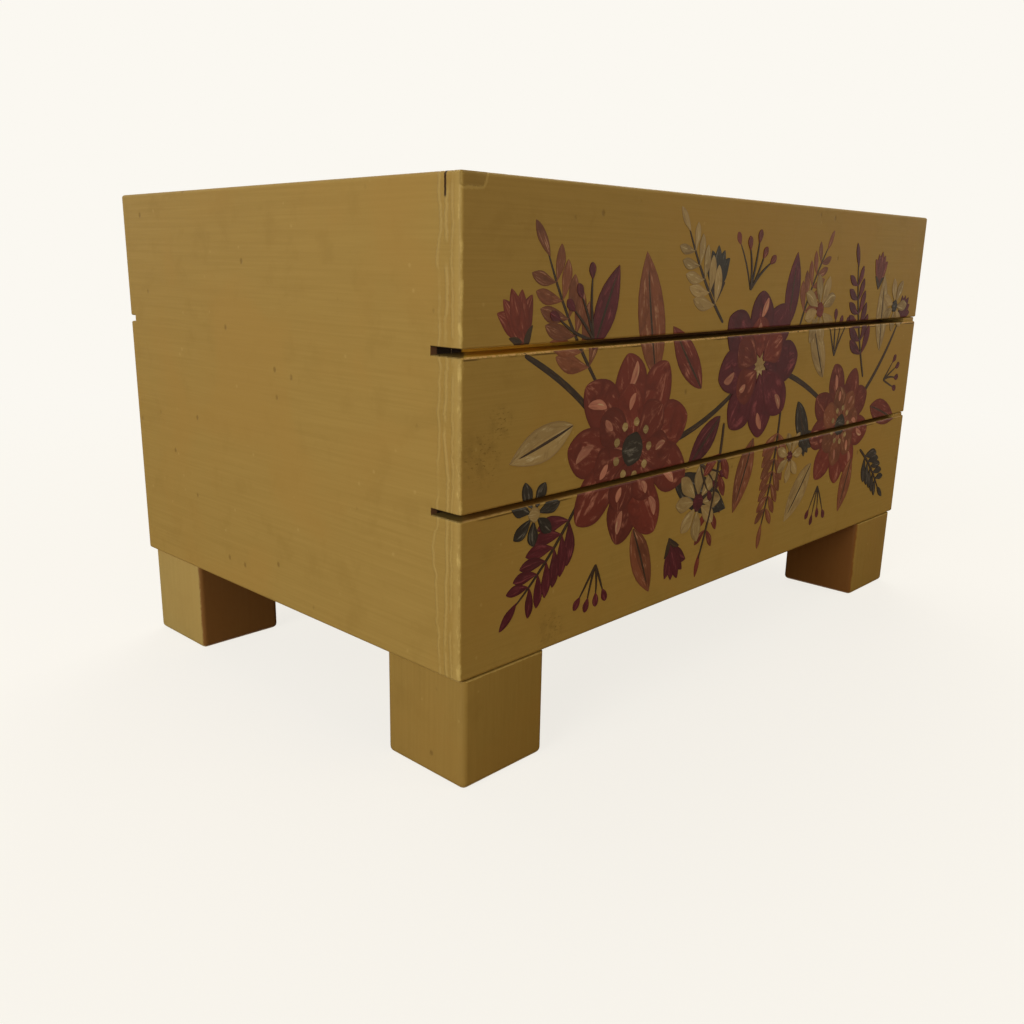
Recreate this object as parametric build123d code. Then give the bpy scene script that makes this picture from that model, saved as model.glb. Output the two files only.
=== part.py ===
"""Small painted drawer box: three full-width drawers in a wooden case on four block feet.

Units are millimetres. X runs along the drawer fronts, Y from the fronts to the back, Z up.
The origin lies on the floor, under the centre of the whole object.
"""
from build123d import *
import os

# --- the case, seen from outside -------------------------------------------------------------
case_width = 215.0            # over the end panels
case_depth = 136.0            # from the face of the drawer fronts to the face of the back
top_tier = 33.1               # top of the case down to the middle of the upper seam
middle_tier = 32.5            # from seam to seam
bottom_tier = 35.4            # middle of the lower seam down to the underside of the case
upper_seam_gap = 1.5          # open joint under the top drawer's front
lower_seam_gap = 1.2          # open joint under the middle drawer's front
back_seam_gap = 1.6           # open joint between the two back boards
sanded_radius = 0.8           # outer arrises of the case, sanded after it was put together
seam_radius = 0.45            # arrises along the open joints

# --- boards ----------------------------------------------------------------------------------
front_thickness = 8.5
end_thickness = 8.5
back_thickness = 3.0
top_thickness = 5.0
base_thickness = 5.0
shelf_thickness = 3.0
housing_depth = 3.0           # how far top, base and shelves are let into the end panels
glue_gap = 0.2                # left at the bottom of a housing for the glue

# --- feet ------------------------------------------------------------------------------------
foot_side = 25.4
foot_height = 25.4
left_foot_inset = 1.2         # behind the face of the left end panel
right_foot_inset = 2.9        # behind the right one: the feet were set by eye
foot_rear_inset = 1.5         # behind the face of the back
foot_front_proud = 0.3        # before the face of the drawer fronts
foot_corner_radius = 1.0
foot_sole_ease = 1.3          # the sole's arris, cut back at 45 degrees

# --- drawers ---------------------------------------------------------------------------------
wall_thickness = 4.5          # sides, inner front and back of a drawer
bottom_thickness = 3.0
bottom_lift = 2.0             # underside of the bottom above the lower edge of the sides
groove_depth = 2.0            # the bottom is let into all four walls
groove_clearance = 0.15       # over, under and round the bottom in its groove
finger_height = 5.4           # wanted height of one finger of the corner joints
side_clearance = 0.75         # between a drawer and the end panels
slide_clearance = 0.2         # between a drawer and the board that it slides on
head_clearance = 1.5          # above a drawer
rear_clearance = 2.5          # behind a closed drawer
front_lift = 0.2              # lowest drawer front above the feet

# --- dividers --------------------------------------------------------------------------------
divider_thickness = 3.0
divider_drop = 3.0            # top of a divider below the top of the drawer sides
divider_housing = 1.2         # how far a divider is let into the drawer walls
divider_clearance = 0.1       # on each side of a divider in its housing or halving
top_columns = 6               # spaces side by side in the top drawer
top_rows = 2                  # and from front to back
middle_columns = 4
bottom_rows = 2

# --- screws and brads ------------------------------------------------------------------------
pilot_clearance = 0.05        # around every screw and brad
foot_screw_radius = 1.75
foot_screw_length = 18.0
foot_screw_head_radius = 3.4
front_screw_radius = 1.25
front_screw_length = 9.5
front_screw_head_radius = 2.3
head_cone_share = 0.55        # depth of a countersunk head over its radius
screw_tip_share = 1.5         # length of a screw's point over its radius
screw_tip_radius = 0.3
screw_sides = 12              # flats that stand for the round of a screw
front_screw_inset = 30.0      # from the drawer side to the screw, in a wide space
brad_side = 1.2               # square section
brad_length = 14.0
brad_head_width = 2.4
brad_head_depth = 0.5
brad_point_length = 1.6
brad_edge_distance = 9.0      # from the end of a back board to its first brad
top_brads = 3                 # along the top panel, and along the base panel

same_place = 0.001            # two places closer than this are the same

# --- levels and planes worked out from the sizes above ---------------------------------------
case_underside = foot_height
lower_seam = case_underside + bottom_tier
upper_seam = lower_seam + middle_tier
case_top = upper_seam + top_tier
outer_depth = case_depth + foot_front_proud
front_face = foot_front_proud - outer_depth / 2
case_front = front_face + front_thickness
back_face = front_face + case_depth
case_rear = back_face - back_thickness
half_width = case_width / 2
inner_half_width = half_width - end_thickness
drawer_half_width = inner_half_width - side_clearance
drawer_rear = case_rear - rear_clearance
head_to_rear = Rotation(-90, 0, 0)    # lays a screw or brad along Y with its head to the rear


def block(x_span, y_span, z_span):
    """A square-edged board between two planes in each direction."""
    size = [high - low for low, high in (x_span, y_span, z_span)]
    centre = [(low + high) / 2 for low, high in (x_span, y_span, z_span)]
    return Pos(*centre) * Box(*size)


def sanded_case():
    """The outer form of the closed case, with every arris rounded by the same sanding."""
    form = block((-half_width, half_width), (front_face, back_face), (case_underside, case_top))
    return fillet(form.edges(), sanded_radius)


def edges_at(board, height):
    """The edges that lie flat at one height."""
    return board.edges().filter_by_position(Axis.Z, height - same_place, height + same_place)


def soften_seam(board, height, before):
    """Round the arris of an open joint at one height, on the outer faces only."""
    outer = [edge for edge in edges_at(board, height) if edge.center().Y < before]
    return fillet(outer, seam_radius)


# --- screws and brads ------------------------------------------------------------------------
def countersunk_screw(radius, length, head_radius, spare=0.0):
    """A screw with its head's face at the origin and its point along -Z, or with spare its hole."""
    stations = (
        (head_radius, 0),
        (radius, -head_radius * head_cone_share),
        (radius, -length + radius * screw_tip_share),
        (screw_tip_radius, -length - spare),
    )
    sections = [Pos(0, 0, level) * RegularPolygon(size + spare, screw_sides) for size, level in stations]
    return loft(sections, ruled=True)


def brad(spare=0.0):
    """A square-section brad with its flat T head at the origin, its point along -Z, or its hole."""
    half_shank = brad_side / 2 + spare
    half_head = brad_head_width / 2 + spare
    head = block((-half_head, half_head), (-half_shank, half_shank), (-brad_head_depth, 0))
    shank_span = (-half_shank, half_shank)
    shank = block(shank_span, shank_span, (-brad_length - spare, -brad_head_depth))
    point = shank.faces().sort_by(Axis.Z)[0].edges().filter_by(Axis.X)
    return head + chamfer(point, brad_point_length, brad_side / 3)


# --- places of the feet and of their screws --------------------------------------------------
def foot_places():
    """The name, centre and screw place of each foot, in plan."""
    front_y = front_face - foot_front_proud + foot_side / 2
    front_screw_y = (case_front + front_y + foot_side / 2) / 2
    rear_y = back_face - foot_rear_inset - foot_side / 2
    rear_screw_y = (case_rear + rear_y - foot_side / 2) / 2
    places = []
    for side_name, side, inset in (("left", -1, left_foot_inset), ("right", 1, right_foot_inset)):
        middle_x = half_width - inset - foot_side / 2
        screw_x = (inner_half_width + middle_x - foot_side / 2) / 2
        places.append((f"foot_front_{side_name}", (side * middle_x, front_y), (side * screw_x, front_screw_y)))
        places.append((f"foot_rear_{side_name}", (side * middle_x, rear_y), (side * screw_x, rear_screw_y)))
    return places


def foot_screw_seats():
    """Where each foot's screw starts: the upper face of the base panel."""
    return [Pos(x, y, case_underside + base_thickness) for _, _, (x, y) in foot_places()]


def foot_screw(spare=0.0):
    return countersunk_screw(foot_screw_radius, foot_screw_length, foot_screw_head_radius, spare)


def foot(centre):
    """A block of wood with rounded corners and an eased sole."""
    x, y = centre
    sole_side = foot_side - 2 * foot_sole_ease
    sole = Pos(x, y, 0) * RectangleRounded(sole_side, sole_side, foot_corner_radius)
    section = Pos(x, y, foot_sole_ease) * RectangleRounded(foot_side, foot_side, foot_corner_radius)
    form = loft([sole, section], ruled=True) + extrude(section, foot_height - foot_sole_ease)
    for seat in foot_screw_seats():
        form -= seat * foot_screw(pilot_clearance)
    return form


# --- the case --------------------------------------------------------------------------------
def housed_span():
    """How far the top, base and shelves reach into the housings of the end panels."""
    reach = inner_half_width + housing_depth - glue_gap
    return (-reach, reach)


def end_panel(side, form, back_brads):
    """One end of the case, rebated for top and base, with a housing for each shelf."""
    outer, inner = side * half_width, side * inner_half_width
    x_span = (min(outer, inner), max(outer, inner))
    panel = block(x_span, (case_front, case_rear), (case_underside, case_top)) & form
    deepest = side * (inner_half_width + housing_depth)
    cut_x = (min(deepest, 0), max(deepest, 0))
    for z_span in (base_levels(), shelf_levels(lower_seam), shelf_levels(upper_seam), top_levels()):
        panel -= block(cut_x, (case_front, case_rear), z_span)
    return panel - back_brads


def base_levels():
    return (case_underside, case_underside + base_thickness)


def top_levels():
    return (case_top - top_thickness, case_top)


def shelf_levels(seam):
    return (seam - shelf_thickness / 2, seam + shelf_thickness / 2)


def inner_panel(z_span, cuts=None):
    """A board between the end panels, as deep as they are."""
    panel = block(housed_span(), (case_front, case_rear), z_span)
    return panel - cuts if cuts else panel


def base_panel(back_brads):
    panel = inner_panel(base_levels(), back_brads)
    for seat in foot_screw_seats():
        panel -= seat * foot_screw(pilot_clearance)
    return panel


def back_board(z_span, form, back_brads):
    """A thin board over the rear edges of the case, softened along the open joint."""
    board = block((-half_width, half_width), (case_rear, back_face), z_span) & form
    joint = z_span[0] if z_span[0] > case_underside else z_span[1]
    outer = [edge for edge in edges_at(board, joint) if edge.center().Y > case_rear + seam_radius]
    return fillet(outer, seam_radius) - back_brads


def back_brad_places():
    """Brads into the rear edges of the end panels, the top panel and the base panel."""
    end_x = half_width - end_thickness / 2
    upper_low = upper_seam + back_seam_gap / 2 + brad_edge_distance
    lower_high = upper_seam - back_seam_gap / 2 - brad_edge_distance
    top_z = case_top - top_thickness / 2
    base_z = case_underside + base_thickness / 2
    levels = [upper_low, case_top - brad_edge_distance, lower_high]
    levels += [(lower_high + case_underside + brad_edge_distance) / 2, case_underside + brad_edge_distance]
    places = [(side * end_x, level) for side in (-1, 1) for level in levels]
    pitch = 2 * inner_half_width / (top_brads + 1)
    row = [-inner_half_width + pitch * (index + 1) for index in range(top_brads)]
    return places + [(x, z) for z in (top_z, base_z) for x in row]


def back_brad_group(spare=0.0):
    """All brads of the back, each a solid of its own, or with spare their holes."""
    return [Pos(x, back_face, z) * head_to_rear * brad(spare) for x, z in back_brad_places()]


# --- the drawers -----------------------------------------------------------------------------
class Drawer:
    """The levels of one drawer, and the boards that it is made of."""

    def __init__(self, name, front_levels, space_levels, columns, rows):
        self.name = name
        self.front_levels = front_levels
        self.low = space_levels[0] + slide_clearance
        self.high = space_levels[1] - head_clearance
        self.columns = columns
        self.rows = rows
        self.floor = self.low + bottom_lift + bottom_thickness
        self.divider_top = self.high - divider_drop
        self.inner_x = drawer_half_width - wall_thickness
        self.inner_front = case_front + wall_thickness
        self.inner_rear = drawer_rear - wall_thickness

    # corner joints
    def fingers(self, first):
        """The levels of every second finger of a corner joint, from the first or the second."""
        wanted = round((self.high - self.low) / finger_height)
        count = max(3, wanted + 1 - wanted % 2)
        height = (self.high - self.low) / count
        return [(self.low + height * i, self.low + height * (i + 1)) for i in range(first, count, 2)]

    def corner_notches(self, first):
        """Blocks at the four corners, as tall as the fingers of the board that passes through."""
        notches = []
        for level in self.fingers(first):
            for x_span in self.side_spans():
                for y_span in ((case_front, self.inner_front), (self.inner_rear, drawer_rear)):
                    notches.append(block(x_span, y_span, level))
        return notches

    def side_spans(self):
        return [(-drawer_half_width, -self.inner_x), (self.inner_x, drawer_half_width)]

    def groove(self):
        """The groove for the bottom, let into all four walls."""
        x, reach = self.inner_x, groove_depth
        z_span = (self.low + bottom_lift - groove_clearance, self.floor + groove_clearance)
        return block((-x - reach, x + reach), (self.inner_front - reach, self.inner_rear + reach), z_span)

    # dividers
    def column_width(self):
        return (2 * self.inner_x - divider_thickness * (self.columns - 1)) / self.columns

    def column_places(self):
        """The middle of each divider that runs from front to back."""
        step = self.column_width() + divider_thickness
        return [-self.inner_x + step * i - divider_thickness / 2 for i in range(1, self.columns)]

    def row_places(self):
        """The middle of each divider that runs from side to side."""
        depth = self.inner_rear - self.inner_front
        width = (depth - divider_thickness * (self.rows - 1)) / self.rows
        step = width + divider_thickness
        return [self.inner_front + step * i - divider_thickness / 2 for i in range(1, self.rows)]

    def cross_block(self, x, spare, reach, z_span):
        half = divider_thickness / 2 + spare
        return block((x - half, x + half), (self.inner_front - reach, self.inner_rear + reach), z_span)

    def long_block(self, y, spare, reach, z_span):
        half = divider_thickness / 2 + spare
        return block((-self.inner_x - reach, self.inner_x + reach), (y - half, y + half), z_span)

    def divider_housings(self):
        """Housings for the divider ends, open at the top of the walls."""
        z_span = (self.floor, self.high)
        cross = [self.cross_block(x, divider_clearance, divider_housing, z_span) for x in self.column_places()]
        long = [self.long_block(y, divider_clearance, divider_housing, z_span) for y in self.row_places()]
        return cross + long

    def cross_dividers(self):
        """Dividers from front to back, halved from below over the long ones."""
        middle = (self.floor + self.divider_top) / 2
        reach = divider_housing - divider_clearance
        halvings = [self.long_block(y, divider_clearance, 0, (self.floor, middle)) for y in self.row_places()]
        boards = []
        for x in self.column_places():
            board = self.cross_block(x, 0, reach, (self.floor, self.divider_top))
            boards.append(board - halvings if halvings else board)
        return boards

    def long_dividers(self):
        """Dividers from side to side, halved from above under the cross ones."""
        middle = (self.floor + self.divider_top) / 2
        reach = divider_housing - divider_clearance
        levels = (middle, self.divider_top)
        halvings = [self.cross_block(x, divider_clearance, 0, levels) for x in self.column_places()]
        boards = []
        for y in self.row_places():
            board = self.long_block(y, 0, reach, (self.floor, self.divider_top))
            boards.append(board - halvings if halvings else board)
        return boards

    # screws that hold the front
    def screw_seats(self):
        """Two screws from inside the drawer, through its inner front into the front."""
        level = (self.floor + self.high) / 2
        inset = min(front_screw_inset, self.column_width() / 2)
        places = (-self.inner_x + inset, self.inner_x - inset)
        return [Pos(x, self.inner_front, level) * head_to_rear for x in places]

    def screws(self, spare=0.0):
        screw = countersunk_screw(front_screw_radius, front_screw_length, front_screw_head_radius, spare)
        return [seat * screw for seat in self.screw_seats()]

    # boards
    def front(self, form):
        """The thick outer front, which covers the ends of the case and the edges beside it."""
        board = block((-half_width, half_width), (front_face, case_front), self.front_levels) & form
        for level in self.front_levels:
            if case_underside + front_lift < level < case_top:
                board = soften_seam(board, level, case_front - seam_radius)
        return board - self.screws(pilot_clearance)

    def wall_cuts(self):
        return [self.groove()] + self.divider_housings()

    def side(self, x_span):
        board = block(x_span, (case_front, drawer_rear), (self.low, self.high))
        return board - self.corner_notches(1) - self.wall_cuts()

    def cross_wall(self, y_span):
        board = block((-drawer_half_width, drawer_half_width), y_span, (self.low, self.high))
        return board - self.corner_notches(0) - self.wall_cuts()

    def bottom(self):
        reach = groove_depth - groove_clearance
        x_span = (-self.inner_x - reach, self.inner_x + reach)
        y_span = (self.inner_front - reach, self.inner_rear + reach)
        return block(x_span, y_span, (self.low + bottom_lift, self.floor))

    def nodes(self, form):
        """Every piece of the drawer, under its name."""
        left, right = self.side_spans()
        inner_front = self.cross_wall((case_front, self.inner_front))
        pieces = {
            "front": self.front(form),
            "inner_front": inner_front - self.screws(pilot_clearance),
            "left_side": self.side(left),
            "right_side": self.side(right),
            "back": self.cross_wall((self.inner_rear, drawer_rear)),
            "bottom": self.bottom(),
            "front_screws": Compound(self.screws()),
        }
        for index, board in enumerate(self.long_dividers(), 1):
            pieces[f"long_divider_{index}"] = board
        for index, board in enumerate(self.cross_dividers(), 1):
            pieces[f"cross_divider_{index}"] = board
        return {f"{self.name}_drawer_{piece}": solid for piece, solid in pieces.items()}


def drawers():
    """The three drawers, each with its front's levels and the space that it slides in."""
    half_upper_gap = upper_seam_gap / 2
    half_lower_gap = lower_seam_gap / 2
    half_shelf = shelf_thickness / 2
    bottom_front = (case_underside + front_lift, lower_seam - half_lower_gap)
    middle_front = (lower_seam + half_lower_gap, upper_seam - half_upper_gap)
    top_front = (upper_seam + half_upper_gap, case_top)
    bottom_space = (case_underside + base_thickness, lower_seam - half_shelf)
    middle_space = (lower_seam + half_shelf, upper_seam - half_shelf)
    top_space = (upper_seam + half_shelf, case_top - top_thickness)
    return [
        Drawer("bottom", bottom_front, bottom_space, 1, bottom_rows),
        Drawer("middle", middle_front, middle_space, middle_columns, 1),
        Drawer("top", top_front, top_space, top_columns, top_rows),
    ]


# --- the whole object ------------------------------------------------------------------------
def case_nodes(form):
    """The pieces that stand still, under their names."""
    back_holes = back_brad_group(pilot_clearance)
    half_back_gap = back_seam_gap / 2
    nodes = {
        "end_panel_left": end_panel(-1, form, back_holes),
        "end_panel_right": end_panel(1, form, back_holes),
        "top_panel": inner_panel(top_levels(), back_holes),
        "base_panel": base_panel(back_holes),
        "shelf_upper": inner_panel(shelf_levels(upper_seam)),
        "shelf_lower": inner_panel(shelf_levels(lower_seam)),
        "back_board_upper": back_board((upper_seam + half_back_gap, case_top), form, back_holes),
        "back_board_lower": back_board((case_underside, upper_seam - half_back_gap), form, back_holes),
        "foot_screws": Compound([seat * foot_screw() for seat in foot_screw_seats()]),
        "back_brads": Compound(back_brad_group()),
    }
    for name, centre, _ in foot_places():
        nodes[name] = foot(centre)
    return nodes


def main():
    os.makedirs("parts", exist_ok=True)
    form = sanded_case()
    nodes = case_nodes(form)
    for drawer in drawers():
        nodes.update(drawer.nodes(form))
    for name, solid in nodes.items():
        export_step(solid, f"parts/{name}.step")
    print(f"{len(nodes)} nodes, case {case_width:.1f} x {case_depth:.1f} mm, top at {case_top:.1f} mm")


main()
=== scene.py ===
# %% [markdown]
# # A small painted drawer box
# The box is wood: three drawers in a case, on four block feet. The pieces already have their real
# shapes and places, so this lesson is about finish: brushed ochre paint, wear along the arrises,
# bare wood inside, a painted garland over the drawer fronts, and light that shows all of it.

import math
import random
from functools import partialmethod

import bmesh
import bpy
from mathutils import Matrix, Vector


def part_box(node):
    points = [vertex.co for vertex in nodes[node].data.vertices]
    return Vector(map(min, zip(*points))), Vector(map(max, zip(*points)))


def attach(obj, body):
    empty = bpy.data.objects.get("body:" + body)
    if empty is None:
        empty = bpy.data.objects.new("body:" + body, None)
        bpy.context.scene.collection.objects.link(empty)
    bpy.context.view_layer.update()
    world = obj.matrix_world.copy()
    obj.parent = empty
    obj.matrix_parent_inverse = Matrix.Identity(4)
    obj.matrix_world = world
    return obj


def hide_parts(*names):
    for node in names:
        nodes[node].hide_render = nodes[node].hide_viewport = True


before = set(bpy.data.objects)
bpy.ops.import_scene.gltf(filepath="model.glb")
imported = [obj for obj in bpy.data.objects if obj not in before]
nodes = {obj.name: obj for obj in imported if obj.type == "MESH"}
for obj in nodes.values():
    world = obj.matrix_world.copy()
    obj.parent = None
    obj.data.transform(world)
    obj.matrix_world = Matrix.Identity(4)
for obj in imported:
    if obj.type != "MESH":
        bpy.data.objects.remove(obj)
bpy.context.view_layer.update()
MM = 0.001

# %% [markdown]
# Sizes that the looks depend on are read from the pieces, so the paint follows the box if it changes.
# A node's box gives its lowest and highest corner. Materials are easier to read in millimetres, so
# the corners are kept in that unit too.

# %% Read the sizes of the case
case_low = Vector((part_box("end_panel_left")[0].x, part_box("top_drawer_front")[0].y,
                   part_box("base_panel")[0].z))
case_high = Vector((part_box("end_panel_right")[1].x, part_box("back_board_upper")[1].y,
                    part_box("top_panel")[1].z))
low_mm, high_mm = case_low / MM, case_high / MM
front_mm, end_mm = low_mm.y, high_mm.x    # the plane of the fronts, and that of the right end
print("case from", [round(v, 1) for v in low_mm], "to", [round(v, 1) for v in high_mm], "mm")

# %% [markdown]
# Shader nodes are joined by many small steps. This helper gives each step a short name, so that a
# material further down reads like a recipe.

# %% A helper for shader graphs
class Graph:
    """Adds shader nodes to a tree and joins them."""

    def __init__(self, tree):
        self.tree = tree

    def feed(self, socket, value):
        if isinstance(value, bpy.types.NodeSocket):
            self.tree.links.new(value, socket)
        else:
            socket.default_value = value

    def add(self, kind, inputs=None, **settings):
        node = self.tree.nodes.new(kind)
        for name, value in settings.items():
            setattr(node, name, value)
        for name, value in (inputs or {}).items():
            self.feed(node.inputs[name], value)
        return node

    def math(self, operation, first, second=0.0):
        return self.add("ShaderNodeMath", {0: first, 1: second}, operation=operation).outputs[0]

    plus = partialmethod(math, "ADD")
    minus = partialmethod(math, "SUBTRACT")
    times = partialmethod(math, "MULTIPLY")
    larger = partialmethod(math, "MAXIMUM")
    smaller = partialmethod(math, "MINIMUM")
    absolute = partialmethod(math, "ABSOLUTE")

    def step(self, value, low, high):
        """0 at low, 1 at high and a smooth change between them, whichever is the greater number."""
        inputs = {"Value": value, "From Min": low, "From Max": high}
        return self.add("ShaderNodeMapRange", inputs, interpolation_type="SMOOTHSTEP").outputs["Result"]

    def mix(self, share, first, second, blend="MIX"):
        """Mix two colours; the RGBA sockets of this node are numbers 6 and 7."""
        node = self.add("ShaderNodeMix", {0: share, 6: first, 7: second}, data_type="RGBA", blend_type=blend)
        return node.outputs[2]

    def noise(self, vector, scale, detail=3.0, rough=0.55, twist=0.0):
        inputs = {"Vector": vector, "Scale": scale, "Detail": detail, "Roughness": rough, "Distortion": twist}
        return self.add("ShaderNodeTexNoise", inputs).outputs["Fac"]

    def scatter(self, vector):
        """The distance to the nearest of many scattered points, one in each unit cube."""
        node = self.add("ShaderNodeTexVoronoi", {"Vector": vector, "Scale": 1.0}, feature="F1")
        return node.outputs["Distance"]

    def stretch(self, vector, factors):
        """Multiply a vector by three factors: a small factor makes long streaks that way."""
        node = self.add("ShaderNodeVectorMath", {0: vector, 1: factors}, operation="MULTIPLY")
        return node.outputs[0]

    def split(self, vector):
        return self.add("ShaderNodeSeparateXYZ", {0: vector}).outputs

    def millimetres(self):
        """The place on the piece, in millimetres."""
        place = self.add("ShaderNodeTexCoord").outputs["Object"]
        node = self.add("ShaderNodeVectorMath", {0: place, "Scale": 1 / MM}, operation="SCALE")
        return node.outputs[0]


def colour(red, green, blue):
    """A colour as picked from a screen, 0 to 255, turned into the linear light that shaders use."""
    linear = [(c / 255 / 12.92) if c < 11 else ((c / 255 + 0.055) / 1.055) ** 2.4 for c in (red, green, blue)]
    return (*linear, 1.0)


def new_group(name, inputs, outputs):
    """A node group with named sockets; both dicts map a name to its socket kind."""
    tree = bpy.data.node_groups.new(name, "ShaderNodeTree")
    for socket, kind in inputs.items():
        tree.interface.new_socket(socket, in_out="INPUT", socket_type=kind)
    for socket, kind in outputs.items():
        tree.interface.new_socket(socket, in_out="OUTPUT", socket_type=kind)
    graph = Graph(tree)
    return tree, graph, graph.add("NodeGroupInput").outputs, graph.add("NodeGroupOutput").inputs


NUMBER, COLOUR, VECTOR = "NodeSocketFloat", "NodeSocketColor", "NodeSocketVector"
print("a mid grey on screen is", round(colour(128, 128, 128)[0], 3), "in linear light")

# %% [markdown]
# ## How far is a point from the nearest arris?
# Paint wears along the edges. A board is a box, so the distance to its nearest edge needs no baking:
# of the distances to the three pairs of faces, the second smallest says how near the next face is.

# %% The arris group
def make_arris_group():
    inputs = {"Place": VECTOR, "Low": VECTOR, "High": VECTOR}
    tree, g, given, out = new_group("ArrisDistance", inputs, {"Distance": NUMBER})
    place, low, high = (g.split(given[name]) for name in ("Place", "Low", "High"))
    gaps = []
    for axis in range(3):
        below = g.minus(place[axis], low[axis])
        above = g.minus(high[axis], place[axis])
        gaps.append(g.smaller(below, above))
    smaller = g.smaller(gaps[0], gaps[1])
    larger = g.larger(gaps[0], gaps[1])
    second = g.larger(smaller, g.smaller(larger, gaps[2]))
    g.feed(out["Distance"], second)
    return tree


arris_group = make_arris_group()
print("arris group:", len(arris_group.nodes), "nodes")

# %% [markdown]
# ## Brushed craft paint
# The box wears a thick, satin ochre. A flat brush left fine streaks along each board, the coat is a
# little browner in clouds, and dust and small dents sit in it. The group puts out a
# colour, a roughness and a height for bump, and each material chooses its own ochre and streaks.

# %% The paint group
def make_paint_group():
    inputs = {"Place": VECTOR, "Paint": COLOUR, "Worn": COLOUR, "Streaks": VECTOR, "Arris": NUMBER,
              "Wear": NUMBER}
    outputs = {"Color": COLOUR, "Roughness": NUMBER, "Height": NUMBER}
    tree, g, given, out = new_group("BrushedPaint", inputs, outputs)
    place = given["Place"]
    streak_place = g.stretch(place, given["Streaks"])
    streaks = g.noise(streak_place, 1.0, 5.0, 0.62)
    fine = g.noise(g.stretch(streak_place, (2.2, 2.2, 2.2)), 1.0, 4.0, 0.7)
    clouds = g.noise(place, 0.035, 3.0, 0.5, 0.4)
    grit = g.noise(place, 2.4, 3.0, 0.6)
    # points scattered in space leave a small dent or a pale speck where one lies close to the surface
    wobbly = g.times(g.minus(grit, 0.5), 0.05)
    pits = g.step(g.plus(g.scatter(g.stretch(place, (0.1, 0.1, 0.085))), wobbly), 0.085, 0.03)
    specks = g.step(g.plus(g.scatter(g.stretch(place, (0.17, 0.14, 0.14))), wobbly), 0.085, 0.03)
    deep = g.mix(1.0, given["Paint"], (0.8, 0.77, 0.7, 1), "MULTIPLY")
    tone = g.mix(g.step(streaks, 0.25, 0.75), g.mix(0.5, deep, given["Paint"]), given["Paint"])
    tone = g.mix(g.times(g.step(fine, 0.5, 0.78), 0.04), tone, given["Worn"])
    soft = g.noise(place, 0.11, 4.0, 0.62, 0.3)
    tone = g.mix(g.times(g.step(soft, 0.5, 0.3), 0.4), tone, deep)
    brown = g.mix(1.0, given["Paint"], (0.99, 0.92, 0.86, 1), "MULTIPLY")
    tone = g.mix(g.times(g.step(clouds, 0.4, 0.64), 0.6), tone, brown)
    tone = g.mix(g.times(specks, 0.3), tone, given["Worn"])
    tone = g.mix(g.times(pits, 0.42), tone, (0.12, 0.06, 0.015, 1))
    # wear narrows and widens along the arris
    ragged = g.noise(g.stretch(place, (0.5, 0.5, 0.5)), 1.0, 4.0, 0.7)
    reach = g.times(g.minus(ragged, 0.28), given["Wear"])
    edge = g.minus(reach, given["Arris"])
    worn = g.step(edge, -0.12, 0.14)
    tone = g.mix(g.times(worn, 0.8), tone, given["Worn"])
    g.feed(out["Color"], tone)
    rough = g.plus(0.4, g.times(grit, 0.16))
    g.feed(out["Roughness"], g.plus(rough, g.times(worn, 0.15)))
    height = g.plus(g.times(streaks, 0.3), g.times(fine, 0.16))
    lumps = g.noise(place, 0.7, 3.0, 0.6)
    height = g.plus(height, g.times(g.plus(grit, g.times(lumps, 2.0)), 0.1))
    height = g.minus(height, g.times(pits, 0.5))
    g.feed(out["Height"], g.minus(height, g.times(worn, 0.35)))
    return tree


paint_group = make_paint_group()
print("paint group:", len(paint_group.nodes), "nodes")

# %% [markdown]
# ## Bare wood
# Inside, the boards are plain. Softwood shows long growth lines with a slow waver, darker late wood
# and fine pores. Plywood is the same wood on its faces, with layers along its edges.

# %% The wood group
def make_wood_group():
    inputs = {"Place": VECTOR, "Early": COLOUR, "Late": COLOUR, "Grain": VECTOR, "Seed": NUMBER}
    outputs = {"Color": COLOUR, "Roughness": NUMBER, "Height": NUMBER}
    tree, g, given, out = new_group("BareWood", inputs, outputs)
    offset = g.add("ShaderNodeCombineXYZ", {0: given["Seed"], 1: given["Seed"], 2: given["Seed"]}).outputs[0]
    place = g.add("ShaderNodeVectorMath", {0: given["Place"], 1: offset}, operation="ADD").outputs[0]
    grain_place = g.stretch(place, given["Grain"])
    broad = g.noise(grain_place, 0.35, 2.0, 0.5, 0.3)
    rings = g.math("FRACT", g.times(broad, 9.0))
    late = g.times(g.step(rings, 0.35, 0.9), g.step(rings, 1.0, 0.93))
    pores = g.noise(g.stretch(grain_place, (1.5, 6.0, 6.0)), 1.0, 4.0, 0.65)
    tone = g.mix(g.times(late, 0.6), given["Early"], given["Late"])
    tone = g.mix(g.times(g.step(pores, 0.5, 0.74), 0.45), tone, given["Late"])
    blotch = g.noise(place, 0.03, 2.0, 0.5)
    tone = g.mix(g.times(g.step(blotch, 0.4, 0.7), 0.2), tone, given["Late"])
    g.feed(out["Color"], tone)
    g.feed(out["Roughness"], g.plus(0.55, g.times(pores, 0.25)))
    g.feed(out["Height"], g.minus(0.5, g.times(g.plus(late, pores), 0.3)))
    return tree


wood_group = make_wood_group()
print("wood group:", len(wood_group.nodes), "nodes")

# %% [markdown]
# ## Materials from the groups
# The groups only give colours and numbers. The shader itself, and the bump that turns a height into a
# normal, stay in each material.

# %% Start a material
def begin_material(name):
    material = bpy.data.materials.new(name)
    material.use_nodes = True
    material.node_tree.nodes.clear()
    graph = Graph(material.node_tree)
    shader = graph.add("ShaderNodeBsdfPrincipled")
    output = graph.add("ShaderNodeOutputMaterial")
    graph.feed(output.inputs["Surface"], shader.outputs["BSDF"])
    return material, graph, shader.inputs


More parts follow.
